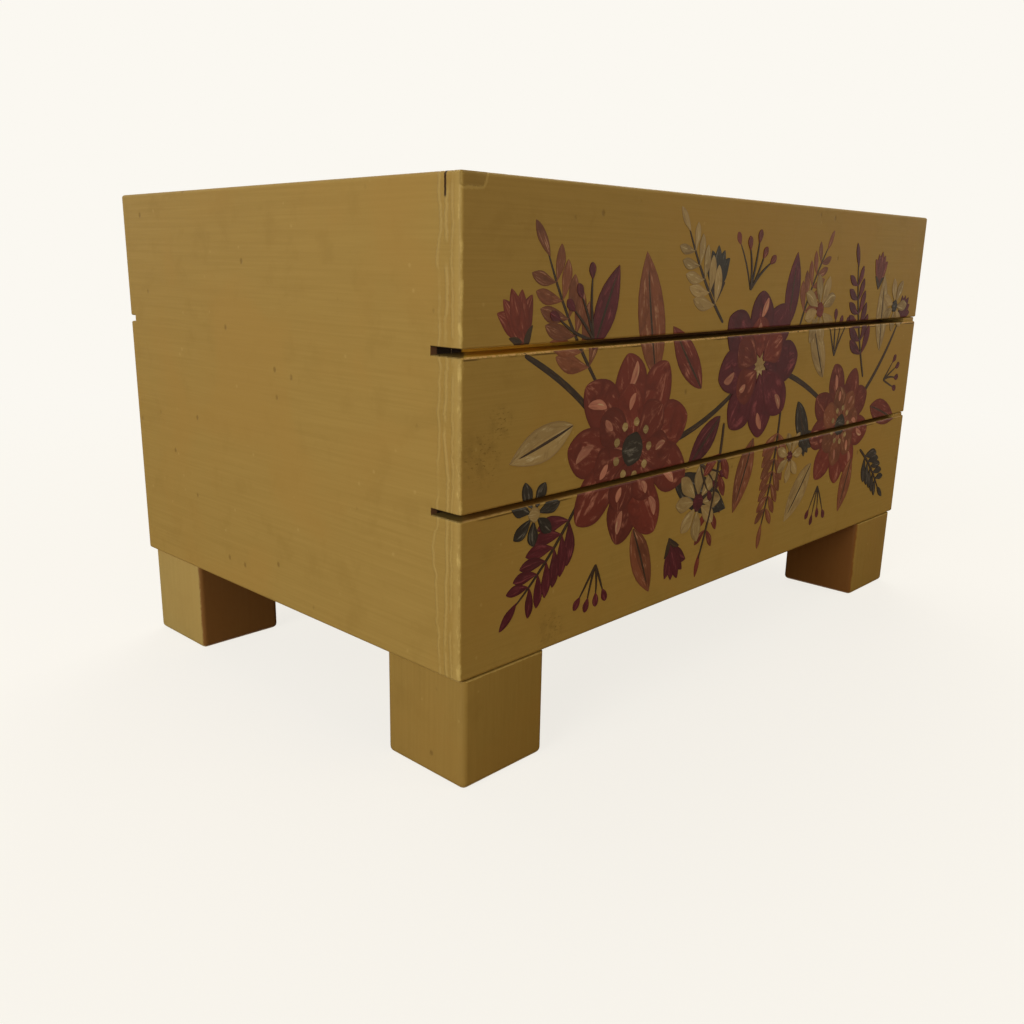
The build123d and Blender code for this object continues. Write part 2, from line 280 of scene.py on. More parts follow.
def join_surface(g, shader, tone, rough, gloss, height, relief):
    """Feed colour, roughness and bump. gloss is the plain specular level, relief is in millimetres."""
    g.feed(shader["Base Color"], tone)
    g.feed(shader["Roughness"], rough)
    shader["Specular IOR Level"].default_value = gloss
    bump = g.add("ShaderNodeBump", {"Height": height, "Distance": relief * MM, "Strength": 1.0})
    g.feed(shader["Normal"], bump.outputs["Normal"])


def use_group(g, tree, inputs):
    node = g.add("ShaderNodeGroup", node_tree=tree)
    for name, value in inputs.items():
        g.feed(node.inputs[name], value)
    return node.outputs


def dress(names, material):
    """Give carried-over pieces a material."""
    for name in names:
        slots = nodes[name].data.materials
        slots.clear()
        slots.append(material)


print("helpers for materials ready")

# %% [markdown]
# ## The ochre of the case
# The long streaks run level on every upright face, as the brush did, and front to back on the top.

# %% Colours of the paint
ochre = colour(170, 140, 74)
# the paler ochre stands for wear, and by the corner also for painted highlights
ochre_wear_and_highlight = colour(196, 168, 100)
split_dark = colour(58, 36, 10)
level_streaks = (0.03, 0.03, 1.5)
top_streaks = (0.03, 1.5, 0.03)
paint_gloss = 0.12    # craft paint is satin


def coat_of(g, place, paint, streaks, arris, wear):
    given = {"Place": place, "Paint": paint, "Worn": ochre_wear_and_highlight, "Streaks": streaks, "Arris": arris,
             "Wear": wear}
    return use_group(g, paint_group, given)


print("ochre in linear light:", [round(part, 3) for part in ochre[:3]])

# %% [markdown]
# A mark that belongs to one place on the box is a mask: 1 on the mark and 0 elsewhere. It is worked
# out from the distance to a plane of the box, and noise makes its outline ragged. Beside the near
# corner the coat dried in thin upright ridges that waver with height and break off.

# %% Ridges beside the corner
# how far behind the front, half width, strength, waver and seed of each ridge
ridge_lines = ((2.3, 0.24, 0.8, 1.6, 3.0), (4.0, 0.3, 1.0, 3.0, 11.0), (6.4, 0.26, 0.8, 7.0, 23.0))


def outer_face(g, x):
    """1 on the outer faces of the two ends."""
    return g.step(g.absolute(x), end_mm - 0.7, end_mm - 0.2)


def corner_ridges(g, place):
    """How much of a ridge there is, from 0 to 1."""
    x, y, z = g.split(place)
    behind = g.minus(y, front_mm)
    total = None
    for offset, width, share, swing, seed in ridge_lines:
        along = g.add("ShaderNodeCombineXYZ", {0: g.times(x, 0.2), 1: seed, 2: z}).outputs[0]
        slow = g.noise(g.stretch(along, (1.0, 1.0, 0.07)), 1.0, 2.0, 0.5)
        quick = g.noise(g.stretch(along, (1.0, 1.0, 0.34)), 1.0, 3.0, 0.6)
        waver = g.plus(g.times(g.minus(slow, 0.5), swing), g.times(g.minus(quick, 0.5), 1.3))
        distance = g.absolute(g.minus(g.plus(behind, waver), offset))
        broken = g.step(g.noise(g.stretch(along, (1.0, 1.0, 0.11)), 1.4, 2.0), 0.3, 0.5)
        ridge = g.times(g.times(g.step(distance, width * 2.2, width * 0.3), broken), share)
        total = ridge if total is None else g.larger(total, ridge)
    return g.times(total, outer_face(g, x))


print(len(ridge_lines), "ridges")

# %% [markdown]
# The end is painted paler just before the corner, a painted highlight, and hands rubbed the arris pale in a
# broken line.

# %% The rubbed corner
corner_pale = colour(214, 186, 112)


def corner_highlight_band(g, place):
    """1 on the painted highlight, a pale band on the end just before the corner."""
    x, y, _ = g.split(place)
    ragged = g.noise(g.stretch(place, (0.1, 0.5, 0.2)), 1.0, 3.0, 0.6)
    band = g.step(g.plus(g.minus(y, front_mm), g.times(ragged, 1.2)), 3.0, 1.6)
    return g.times(band, outer_face(g, x))


def rubbed_corner(g, place):
    """1 where the upright arris is rubbed."""
    x, y, _ = g.split(place)
    from_arris = g.plus(g.minus(y, front_mm), g.minus(end_mm, g.absolute(x)))
    ragged = g.noise(g.stretch(place, (0.4, 0.4, 0.16)), 1.0, 4.0, 0.65)
    reach = g.times(g.minus(ragged, 0.43), 3.6)
    return g.step(g.minus(reach, from_arris), -0.35, 0.2)


print("the arris stands at", round(end_mm, 1), round(front_mm, 1))

# %% [markdown]
# At the top of the near corner the end has a short split, and a flake came off the front before it
# was painted. The flake's hollow is a region with two ragged sides; its rim is where the side is near.

# %% The split and the chip
split_behind, split_long = 4.0, 4.2    # from the front, and down from the top
chip_long, chip_deep = 7.0, 2.7


def corner_split(g, place):
    """1 in the split."""
    x, y, z = g.split(place)
    waver = g.noise(g.stretch(place, (0, 0, 0.9)), 1.0, 2.0)
    centre = g.plus(split_behind, g.times(waver, 0.5))
    narrow = g.step(g.absolute(g.minus(g.minus(y, front_mm), centre)), 0.36, 0.2)
    depth = g.step(z, high_mm.z - split_long - 0.7, high_mm.z - split_long)
    near_end = g.step(x, low_mm.x + 0.9, low_mm.x + 0.4)
    return g.times(g.times(narrow, depth), near_end)


def corner_chip(g, place):
    """Two masks: the inside of the chip, and its pale rim."""
    x, y, z = g.split(place)
    from_top = g.minus(high_mm.z, z)
    wobble = g.times(g.minus(g.noise(place, 0.8, 3.0, 0.6), 0.5), 1.1)
    right = g.minus(g.minus(chip_long, g.minus(x, low_mm.x)), g.times(from_top, 0.45))
    inward = g.plus(g.smaller(right, g.minus(chip_deep, from_top)), wobble)
    front_only = g.step(y, front_mm + 0.6, front_mm + 0.2)
    inside = g.times(g.step(inward, -0.05, 0.2), front_only)
    rim = g.step(g.absolute(g.plus(inward, 0.25)), 0.42, 0.1)
    return inside, g.times(rim, front_only)


print("a split of", split_long, "mm and a chip of", chip_long, "mm")

# %% [markdown]
# Fine dark specks sit in a few patches of the fronts. A patch is a ball round a point of the face.

# %% Grime
grime_spots = ((-101.5, 72.0, 8.0), (-96.0, 79.0, 5.0), (-79.0, 30.0, 6.0))    # across, up, radius


def grime(g, place):
    """1 on a speck, and less on the smudge between specks."""
    specks = g.step(g.noise(g.stretch(place, (0.9, 0.9, 2.0)), 1.0, 2.0), 0.56, 0.68)
    smudge = g.times(g.step(g.noise(place, 0.4, 2.0), 0.42, 0.66), 0.45)
    total = None
    for across, up, radius in grime_spots:
        spot = {0: place, 1: (across, front_mm, up)}
        distance = g.add("ShaderNodeVectorMath", spot, operation="DISTANCE").outputs["Value"]
        patch = g.step(distance, radius, radius * 0.3)
        total = patch if total is None else g.larger(total, patch)
    return g.times(g.larger(specks, smudge), total)


print(len(grime_spots), "patches of grime")

# %% [markdown]
# In the joints between the fronts the edges are coloured with painted light and shade: in the upper one
# a painted orange glow near the corner, turning brown further on, and in the lower one brown all along,
# dirt and painted shade together. The arris under a joint is rubbed pale in flecks, with a thin dark line
# below it.

# %% Painted glow and shade in the joints
# painted light: the orange glow of the upper joint near the corner
painted_glow_orange = colour(255, 208, 76)
# dirt and painted shade: the brown of a joint where no glow is painted
joint_dirt_and_shade = colour(104, 64, 30)
# painted shade: the dark deep inside the open ends of the joints
deep_joint_shade = colour(38, 22, 14)
arris_pale = colour(236, 190, 128)
glow_fades = (-82.0, -50.0)    # from where to where along the box the orange turns brown
upper_glow_share = 0.5              # an upper edge shows when its drawer is open, so it gets half the painted glow and shade


def joint_fill(g, x, near_colour):
    """The colour in a joint, from the near corner to the far end: the painted orange glow fades into brown
    dirt and painted shade.
    """
    return g.mix(g.step(x, glow_fades[0], glow_fades[1]), near_colour, joint_dirt_and_shade)


def joint_marks(g, place, tone, low_z, high_z, seam, seam_start, rubbed):
    """Painted glow and shade, dirt and flecks for a front that reaches from low_z to high_z."""
    x, y, z = g.split(place)
    grubby = g.step(g.noise(g.stretch(place, (0.2, 0.6, 0.6)), 1.0, 3.0, 0.6), 0.35, 0.75)
    # the open ends of the joint are painted dark, darker the further back: painted shade
    to_end = g.minus(end_mm, g.absolute(x))
    behind = g.times(g.minus(y, front_mm), 0.97)
    jagged = g.times(g.minus(g.noise(place, 1.2, 3.0), 0.5), 2.2)
    open_end_shade = g.step(g.plus(g.minus(to_end, behind), jagged), 1.1, 0.6)
    fill = joint_fill(g, x, seam)
    dirtier = g.mix(1.0, fill, (0.6, 0.5, 0.4, 1), "MULTIPLY")
    filling = g.mix(open_end_shade, g.mix(g.times(grubby, 0.25), fill, dirtier), deep_joint_shade)
    upper_edge = g.times(g.step(z, high_z - 0.34, high_z - 0.14), upper_glow_share)
    edges = g.larger(upper_edge, g.step(z, low_z + 0.34, low_z + 0.14))
    stain_from = front_mm + seam_start
    edges = g.times(edges, g.step(y, stain_from, stain_from + 0.28))
    above_base = g.step(z, low_mm.z + 0.6, low_mm.z + 1.2)
    below_top = g.step(z, high_mm.z - 0.6, high_mm.z - 1.2)
    tone = g.mix(g.times(g.times(edges, above_base), below_top), tone, filling)
    on_face = g.step(y, front_mm + 0.5, front_mm + 0.3)
    clean = g.times(g.times(g.minus(1.0, open_end_shade), on_face), below_top)
    line = g.times(g.step(z, high_z - 0.86, high_z - 0.64), g.step(z, high_z - 0.36, high_z - 0.48))
    line = g.times(line, g.step(g.noise(g.stretch(place, (0.1, 1.0, 0.4)), 1.0, 3.0), 0.42, 0.58))
    tone = g.mix(g.times(g.times(line, 0.7), clean), tone, split_dark)
    flecks = g.step(g.noise(place, 1.5, 3.0, 0.7), 0.42, 0.55)
    flecks = g.times(g.step(z, high_z - 0.46, high_z - 0.28), flecks)
    return g.mix(g.times(flecks, g.times(clean, rubbed)), tone, arris_pale)


print("the orange fades over", glow_fades[1] - glow_fades[0], "mm")

# %% [markdown]
# The end panels run on behind the fronts, so their front edges close the ends of the joints. They
# show raw wood there, painted dark further in as painted shade, and no more than the joints uncover:
# the rest is painted.

# %% Raw edges of the end panels
edge_wood = colour(124, 88, 62)
joint_half = 0.7    # half the height of a joint


def raw_edge(g, place, tone, edge_y):
    """Raw wood on the edge at edge_y, at the height of the joints, with painted shade further in."""
    x, y, z = g.split(place)
    in_joint = None
    for front in ("top_drawer_front", "middle_drawer_front"):
        from_joint = g.absolute(g.minus(z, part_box(front)[0].z / MM - joint_half))
        near = g.step(from_joint, joint_half + 1.2, joint_half + 0.6)
        in_joint = near if in_joint is None else g.larger(in_joint, near)
    on_edge = g.times(g.step(y, edge_y + 0.03, edge_y + 0.01), in_joint)
    from_middle = g.absolute(x)
    inside_corner = g.step(from_middle, end_mm - 0.01, end_mm - 0.03)
    # more than about 1.7 mm in from the end the raw wood turns dark: painted shade
    raw = g.mix(g.step(from_middle, end_mm - 1.5, end_mm - 1.9), edge_wood, deep_joint_shade)
    return g.mix(g.times(on_edge, inside_corner), tone, raw)


print("raw edges are", 2 * joint_half, "mm high")

# %% [markdown]
# Every painted board gets the coat first, and then the marks of its own place on top of it.

# %% Paint the boards
def painted_board(name, node, wear=0.9, streaks=level_streaks, seam=None, seam_start=0.12, rubbed=0.0,
                  corner=False):
    """seam colours the edges in a joint, from seam_start behind the face; rubbed pales the arris."""
    low, high = ([v / MM for v in corner_point] for corner_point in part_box(node))
    material, g, shader = begin_material(name)
    place = g.millimetres()
    whole = {"Place": place, "Low": (low_mm.x, front_mm, low[2]), "High": (end_mm, high_mm.y, high[2])}
    arris = use_group(g, arris_group, whole)["Distance"]
    coat = coat_of(g, place, ochre, streaks, arris, wear)
    ridges = corner_ridges(g, place)
    # a paler band on the end just before the corner: painted highlight
    tone = g.mix(g.times(corner_highlight_band(g, place), 0.3), coat["Color"], ochre_wear_and_highlight)
    # each ridge is painted paler as well as raised: a painted highlight along it
    tone = g.mix(g.times(ridges, 0.42), tone, ochre_wear_and_highlight)
    tone = g.mix(g.times(rubbed_corner(g, place), 0.7), tone, corner_pale)
    height = g.plus(coat["Height"], g.times(ridges, 1.8))
    if corner:
        split = corner_split(g, place)
        inside, rim = corner_chip(g, place)
        tone = g.mix(split, tone, split_dark)
        tone = g.mix(g.times(inside, 0.16), tone, split_dark)
        tone = g.mix(g.times(rim, 0.5), tone, ochre_wear_and_highlight)
        height = g.minus(g.minus(height, split), g.times(inside, 1.3))
    if seam:
        tone = joint_marks(g, place, tone, low[2], high[2], seam, seam_start, rubbed)
        tone = g.mix(g.times(grime(g, place), 0.42), tone, split_dark)
    if node.startswith("end_panel"):
        tone = raw_edge(g, place, tone, low[1])
    join_surface(g, shader, tone, coat["Roughness"], paint_gloss, height, 0.1)
    dress([node], material)


painted_board("front_top_paint", "top_drawer_front", seam=painted_glow_orange, corner=True)
painted_board("front_middle_paint", "middle_drawer_front", seam=painted_glow_orange, rubbed=0.7)
painted_board("front_bottom_paint", "bottom_drawer_front", seam=joint_dirt_and_shade, seam_start=-0.1, rubbed=0.12)
for side in ("left", "right"):
    painted_board(f"end_{side}_paint", f"end_panel_{side}", wear=0.5)
for level in ("upper", "lower"):
    painted_board(f"back_{level}_paint", f"back_board_{level}", wear=0.8)
painted_board("top_paint", "top_panel", wear=0.1, streaks=top_streaks)
print("painted boards:", len(bpy.data.materials))

# %% [markdown]
# ## Blocks with soft edges
# The dried paint and the feet are blocks: a cube, scaled to a box, with its edges bevelled.

# %% A soft block
def add_piece(name, bm, smooth=False):
    """Put a bmesh into the scene as an object."""
    mesh = bpy.data.meshes.new(name)
    bm.to_mesh(mesh)
    bm.free()
    for polygon in mesh.polygons:
        polygon.use_smooth = smooth
    piece = bpy.data.objects.new(name, mesh)
    bpy.context.scene.collection.objects.link(piece)
    return piece


def soft_block(name, low, high, radius, segments, sharp_top=False):
    bm = bmesh.new()
    bmesh.ops.create_cube(bm, size=1.0)
    bmesh.ops.scale(bm, vec=high - low, verts=bm.verts)
    bmesh.ops.translate(bm, vec=(low + high) / 2, verts=bm.verts)
    top = {e for e in bm.edges if all(abs(v.co.z - high.z) < 1e-6 for v in e.verts)}
    soft = [e for e in bm.edges if not (sharp_top and e in top)]
    bmesh.ops.bevel(bm, geom=soft, offset=radius * MM, offset_type="OFFSET", affect="EDGES",
                    segments=segments, profile=0.5, material=-1)
    return add_piece(name, bm, smooth=True)


print("soft blocks ready")

# %% [markdown]
# At the far end the joints are nearly closed: paint ran in between the fronts and dried there. Each
# fill sticks to the front under the joint and leaves a hair's breadth free above, so that every drawer
# still opens alone.

# %% Dried paint at the far end of the joints
fill_inset, fill_gap, fill_open = 0.25, 0.12, 1.2    # from the face, to the front above, at the end
fill_sunk, fill_round = 0.4, 0.3


def joint_paint():
    material, g, shader = begin_material("joint_paint")
    coat = coat_of(g, g.millimetres(), ochre, level_streaks, arris=10.0, wear=0.0)
    join_surface(g, shader, coat["Color"], coat["Roughness"], paint_gloss, coat["Height"], 0.15)
    return material


def dried_fill(drawer, drawer_above, material):
    front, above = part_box(drawer + "_drawer_front"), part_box(drawer_above + "_drawer_front")
    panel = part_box("end_panel_right")
    low = Vector((panel[0].x - fill_sunk * MM, front[0].y + fill_inset * MM, front[1].z - fill_sunk * MM))
    high = Vector((case_high.x - fill_open * MM, panel[0].y - 0.15 * MM, above[0].z - fill_gap * MM))
    piece = soft_block(drawer + "_dried_paint", low, high, fill_round, 3)
    piece.data.materials.append(material)
    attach(piece, drawer + "_drawer")


fill_material = joint_paint()
dried_fill("middle", "top", fill_material)
dried_fill("bottom", "middle", fill_material)
print("the far ends of two joints are filled")

# %% [markdown]
# ## Bare boards
# Each board gets its grain along its own length, and a seed of its own, so that no two look cut from
# the same place. Drawer bottoms and shelves are plywood: thin layers show along their edges.

# %% Bare wood on each inner piece
wood_early, wood_late = colour(222, 190, 142), colour(176, 132, 84)
ply_early, ply_late = colour(226, 200, 156), colour(190, 152, 104)
ply_glue = colour(120, 82, 48)
wood_gloss = 0.25
# the front edge of a shelf shows deep in a joint: a painted glow on the upper shelf, dirt and painted shade
# on the lower
shelf_edges = {"shelf_upper": colour(250, 200, 74), "shelf_lower": joint_dirt_and_shade}


def bare_board(node, seed, plywood=False):
    low, high = (Vector(corner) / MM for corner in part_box(node))
    size = high - low
    longest = max(range(3), key=lambda axis: size[axis])
    grain = [0.5, 0.5, 0.5]
    grain[longest] = 0.02
    material, g, shader = begin_material(node + "_wood")
    place = g.millimetres()
    early, late = (ply_early, ply_late) if plywood else (wood_early, wood_late)
    given = {"Place": place, "Early": early, "Late": late, "Grain": grain, "Seed": seed}
    wood = use_group(g, wood_group, given)
    tone = wood["Color"]
    if plywood:
        thin = min(range(3), key=lambda axis: size[axis])
        across = g.minus(g.split(place)[thin], low[thin])
        layer = g.math("FRACT", g.times(across, 3 / size[thin]))
        glue = g.step(g.absolute(g.minus(layer, 0.5)), 0.42, 0.48)
        inner = g.step(across, size[thin] - 0.05, size[thin] - 0.2)
        inside = g.times(g.step(across, 0.05, 0.2), inner)
        tone = g.mix(g.times(g.times(glue, inside), 0.7), tone, ply_glue)
    if node in shelf_edges:
        # both ends of the edge are painted dark, where it meets the end panels: painted shade
        x, y, _ = g.split(place)
        shelf_end_shade = g.step(g.absolute(x), 98.6, 99.4)
        edge = g.mix(shelf_end_shade, joint_fill(g, x, shelf_edges[node]), deep_joint_shade)
        tone = g.mix(g.step(y, low[1] + 0.05, low[1] + 0.02), tone, edge)
    join_surface(g, shader, tone, wood["Roughness"], wood_gloss, wood["Height"], 0.08)
    dress([node], material)


painted = {obj.name for obj in nodes.values()
           if obj.data.materials and "paint" in obj.data.materials[0].name}
metal = {name for name in nodes if "screws" in name or "brads" in name}
feet = sorted(name for name in nodes if name.startswith("foot_") and name not in metal)
bare = sorted(set(nodes) - painted - metal - set(feet))
for index, name in enumerate(bare):
    thin_sheet = name.endswith("_bottom") or name.startswith(("shelf", "base_panel"))
    bare_board(name, 17.0 * (index + 1), thin_sheet)
print(len(bare), "bare boards:", ", ".join(bare[:5]), "...")

# %% [markdown]
# ## Screws and brads
# Zinc with a yellow wash on the screws, bright wire on the brads. Both are only a few pixels wide, so a
# simple metal with a little tarnish does it.

# %% Metal
def metal_finish(name, tint, roughness):
    material, g, shader = begin_material(name)
    place = g.millimetres()
    tarnish = g.noise(place, 0.9, 3.0, 0.6)
    dull = g.mix(0.5, tint, (0.1, 0.07, 0.04, 1))
    g.feed(shader["Base Color"], g.mix(g.step(tarnish, 0.45, 0.8), tint, dull))
    g.feed(shader["Roughness"], g.plus(roughness, g.times(tarnish, 0.2)))
    shader["Metallic"].default_value = 1.0
    return material


screw_metal = metal_finish("screw_metal", colour(214, 186, 116), 0.22)
brad_metal = metal_finish("brad_metal", colour(152, 142, 116), 0.4)
dress(sorted(name for name in metal if "screws" in name), screw_metal)
dress(["back_brads"], brad_metal)
print("metal pieces:", sorted(metal))

# %% [markdown]
# ## The feet
# Each foot is a block with soft corners. The construction model has a straight cut round the sole.
# Here the block is made again with one full rounding. Only the top stays sharp, where it meets the
# case. The faces that look in under the case are painted dark brown: painted shade under the box.

# %% Round the blocks
foot_round, foot_segments, foot_gloss = 1.5, 5, 0.2
ochre_foot = colour(160, 130, 66)
# painted light: a paler ochre for the rear left foot, which catches more light
ochre_lit_foot = colour(181, 156, 92)
# painted shade: the dark brown of the foot faces under the case
under_case_shade = colour(112, 54, 10)
upright_streaks = (1.3, 1.3, 0.05)


def make_foot(node):
    low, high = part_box(node)
    block = soft_block(node + "_block", low, high, foot_round, foot_segments, sharp_top=True)
    block.data.set_sharp_from_angle(angle=math.radians(35))
    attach(block, "case")
    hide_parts(node)
    return block


def foot_paint(block, node, seed, paint):
    low, high = (tuple(v / MM for v in corner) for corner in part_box(node))
    material, g, shader = begin_material(node + "_paint")
    place = g.millimetres()
    arris = use_group(g, arris_group, {"Place": place, "Low": low, "High": high})["Distance"]
    shifted = g.add("ShaderNodeVectorMath", {0: place, 1: (seed, seed, 0)}, operation="ADD").outputs[0]
    coat = coat_of(g, shifted, paint, upright_streaks, arris, wear=0.9)
    x, y, _ = g.split(place)
    inner_x = high[0] if low[0] < 0 else low[0]
    inner_y = high[1] if low[1] < 0 else low[1]
    from_inner = g.smaller(g.absolute(g.minus(x, inner_x)), g.absolute(g.minus(y, inner_y)))
    ragged = g.times(g.noise(place, 0.6, 3.0, 0.6), 0.9)
    # the faces that look in under the case turn dark brown: painted shade
    shade_under_case = g.step(g.minus(from_inner, ragged), 0.5, -0.1)
    tone = g.mix(g.times(shade_under_case, 0.75), coat["Color"], under_case_shade)
    join_surface(g, shader, tone, coat["Roughness"], foot_gloss, coat["Height"], 0.1)
    block.data.materials.append(material)


for index, name in enumerate(feet):
    # the rear left foot gets the paler ochre: painted light
    foot_paint(make_foot(name), name, 31.0 * index, ochre_lit_foot if name == "foot_rear_left" else ochre_foot)
print("feet:", feet)

# %% [markdown]
# ## The painted garland
# A loose garland of flowers runs over all three fronts. Every mark is one touch of a round brush, so
# every mark is made the same way here: a small grid is drawn out along a curved path, narrow where the
# brush touches down and lifts off and wide between. Real strokes stand a little proud of the coat, so
# each has a thickness of a few hundredths of a millimetre, and later strokes lie over earlier ones.

# %% Colours of the brush
brick, brick_light = colour(106, 40, 32), colour(178, 116, 100)
wine, wine_light = colour(78, 18, 32), colour(140, 70, 78)
rust, rust_light = colour(120, 68, 46), colour(186, 140, 114)
cream, cream_light = colour(158, 134, 90), colour(208, 192, 154)
coal, coal_light = colour(38, 32, 26), colour(128, 124, 118)
stalk, stalk_light = colour(48, 32, 20), colour(96, 70, 40)
brush_tints = {
    "brick": (brick, brick_light), "wine": (wine, wine_light), "rust": (rust, rust_light),
    "cream": (cream, cream_light), "coal": (coal, coal_light), "stalk": (stalk, stalk_light),
    "blush": (brick_light, cream_light),
}
hand = random.Random(7)


def sway(most):
    return hand.uniform(-most, most)


print(len(brush_tints), "tints on the palette")

# %% [markdown]
# A stroke is laid out on the plane of the fronts, in millimetres: u from the near end, w up from the
# floor. Its grid remembers how far along and across the stroke each point is in a UV map, which the
# material uses for bristle marks. Two colour attributes hold the paint and the lighter paint on it.

# %% One touch of the brush
canvas = bmesh.new()
canvas_uv = canvas.loops.layers.uv.new("stroke")
canvas_paint = canvas.verts.layers.float_color.new("paint")
canvas_light = canvas.verts.layers.float_color.new("light")
canvas_level = canvas.verts.layers.float.new("level")
canvas_rim = canvas.verts.layers.float.new("rim")
thinnest, coat_step, coat_cycle = 0.03, 0.0018, 90    # mm, and after how many strokes it starts again
coats = {"count": 0}


def bend(start, lean_to, end, share):
    """A point on a curve from start to end that leans towards the middle point."""
    first = start.lerp(lean_to, share)
    second = lean_to.lerp(end, share)
    return first.lerp(second, share)


def touch(start, end, width, tint, bow=0.0, belly=0.5, blunt=0.75, long_steps=13, across=4, rough=0.05):
    """One stroke: bow bends it sideways, belly says where it is widest, blunt how round its ends are."""
    start, end = Vector(start), Vector(end)
    along = end - start
    side = Vector((-along.y, along.x))
    lean_to = (start + end) / 2 + side * bow
    made = bmesh.ops.create_grid(canvas, x_segments=long_steps, y_segments=across, size=0.5)
    coats["count"] += 1
    level = thinnest + coat_step * (coats["count"] % coat_cycle)
    phase = hand.uniform(0, 6)
    shade = sway(0.22)
    body, light = (Vector(c[:3]) for c in brush_tints[tint])
    body = body * (1 + shade)
    flat = {}
    for vert in made["verts"]:
        # rows lie closer together at both ends, so that the round tips stay round
        share = (1 - math.cos(math.pi * (vert.co.x + 0.5))) / 2
        aside = vert.co.y * 2
        flat[vert] = (share, aside)
        place = bend(start, lean_to, end, share)
        after = bend(start, lean_to, end, min(share + 0.01, 1))
        before = bend(start, lean_to, end, max(share - 0.01, 0))
        ahead = after - before
        normal = Vector((-ahead.y, ahead.x)).normalized()
        warped = share ** (math.log(0.5) / math.log(belly))
        profile = max(math.sin(math.pi * warped), 0) ** blunt
        ragged = 1 + rough * math.sin(phase + 9 * share + aside)
        place = place + normal * (width / 2 * profile * ragged * aside)
        vert.co = (place.x, 0, place.y)
        vert[canvas_paint] = (*body, 1)
        vert[canvas_light] = (*light, 1)
        vert[canvas_level] = level
        vert[canvas_rim] = abs(aside)
    length = along.length
    for face in {face for vert in made["verts"] for face in vert.link_faces}:
        for loop in face.loops:
            share, aside = flat[loop.vert]
            loop[canvas_uv].uv = (share * length, aside + 3 * (coats["count"] % 50))
    # both ends of the grid come together in a point
    bmesh.ops.remove_doubles(canvas, verts=made["verts"], dist=1e-5)


def around(centre, angle, distance):
    return Vector(centre) + Vector((math.cos(angle), math.sin(angle))) * distance


print("strokes are", thinnest, "to", round(thinnest + coat_step * coat_cycle, 2), "mm thick")

# %% [markdown]
# Strokes make motifs. A flower is two rings of petals round a centre of dots, a bud is a fan of five,
# a leaf is two strokes that share a midrib, and a fern is a stalk with pairs of small touches.

# %% Motifs
def dot(centre, radius, tint):
    touch((centre[0] - radius, centre[1]), (centre[0] + radius, centre[1]), radius * 2, tint,
          blunt=0.5, long_steps=8, rough=0.08)


def flower(centre, radius, petals, outer, inner, heart, turn=0.0):
    for ring, (reach, tint, offset) in enumerate(((1.0, outer, 0.0), (0.64, inner, 0.5))):
        count = petals if ring == 0 else petals - 2
        for index in range(count):
            angle = turn + 2 * math.pi * (index + offset) / count + sway(0.06)
            tip = around(centre, angle, radius * reach * hand.uniform(0.94, 1.04))
            width = 2 * math.pi * radius * reach / count * 0.72
            lean = sway(0.1)
            touch(around(centre, angle, radius * 0.1), tip, width, tint, bow=lean, belly=0.62, blunt=0.62,
                  long_steps=20)
            if hand.random() < 0.6:
                inner_end = around(centre, angle + sway(0.1), radius * reach * 0.62)
                outer_end = around(centre, angle + sway(0.16), radius * reach * 0.86)
                touch(inner_end, outer_end, width * 0.2, "blush", bow=sway(0.3), blunt=0.6)
    dot(centre, radius * 0.17, heart)
    for index in range(9):
        angle = 2 * math.pi * index / 9
        dot(around(centre, angle, radius * 0.27), radius * 0.045, "coal" if heart != "coal" else "cream")


def daisy(centre, radius, petals, tint, heart, turn=0.0):
    for index in range(petals):
        angle = turn + 2 * math.pi * index / petals + sway(0.08)
        tip = around(centre, angle, radius * hand.uniform(0.9, 1.06))
        touch(around(centre, angle, radius * 0.16), tip, radius * 0.4, tint, bow=sway(0.12),
              belly=0.6)
    dot(centre, radius * 0.22, heart)


def leaf(root, tip, width, tint):
    root, tip = Vector(root), Vector(tip)
    for side in (-1, 1):
        touch(root, tip, width / 2, tint, bow=side * 0.14, belly=0.45, blunt=0.9)
    touch(root, root.lerp(tip, 0.86), 0.7, "stalk", bow=0.02, blunt=0.4, across=2)


def bud(root, angle, size, tint):
    for spread in (-0.5, 0.5, -0.24, 0.24, 0.0):
        tip = around(root, angle + spread, size * (1.0 - abs(spread) * 0.28))
        touch(root, tip, size * 0.32, tint, bow=-spread * 0.4, belly=0.55)
    for spread in (-0.75, 0.75):
        touch(around(root, angle, -size * 0.06), around(root, angle + spread, size * 0.42), size * 0.14,
              "stalk", bow=-spread * 0.3)


def fern(root, tip, pairs, size, tint):
    root, tip = Vector(root), Vector(tip)
    along = tip - root
    angle = math.atan2(along.y, along.x)
    touch(root, tip, 0.9, "stalk", bow=0.08, belly=0.2, blunt=0.3, across=2)
    side = Vector((-along.y, along.x))
    for index in range(pairs):
        share = 0.22 + 0.7 * index / pairs
        place = bend(root, (root + tip) / 2 + side * 0.08, tip, share)
        reach = size * (1 - 0.5 * share)
        for turn in (-0.75, 0.75):
            touch(place, around(place, angle + turn, reach), reach * 0.36, tint, bow=turn * 0.12, belly=0.6)
    touch(tip - along * 0.05, around(tip, angle, size * 0.5), size * 0.2, tint, belly=0.55)


def sprig(root, angle, count, length, tint):
    for index in range(count):
        turn = angle + (index - (count - 1) / 2) * 0.36
        end = around(root, turn, length * hand.uniform(0.75, 1.05))
        touch(root, end, 0.7, "stalk", bow=sway(0.12), belly=0.3, blunt=0.3, across=2)
        touch(around(end, turn, -0.6), around(end, turn, 3.0), 2.2, tint, belly=0.6, blunt=0.6, long_steps=8)


print("motifs: flower, daisy, leaf, bud, fern, sprig")

# %% [markdown]
# The layout is an easy S: the main stalk dips, climbs and dips again, the three large flowers sit at
# its turns, and everything smaller fills the outer side of each turn.

# %% Paint the garland
def vine(points, width):
    for first, second, bow in points:
        touch(first, second, width, "stalk", bow=bow, belly=0.4, blunt=0.25, long_steps=20, across=2)


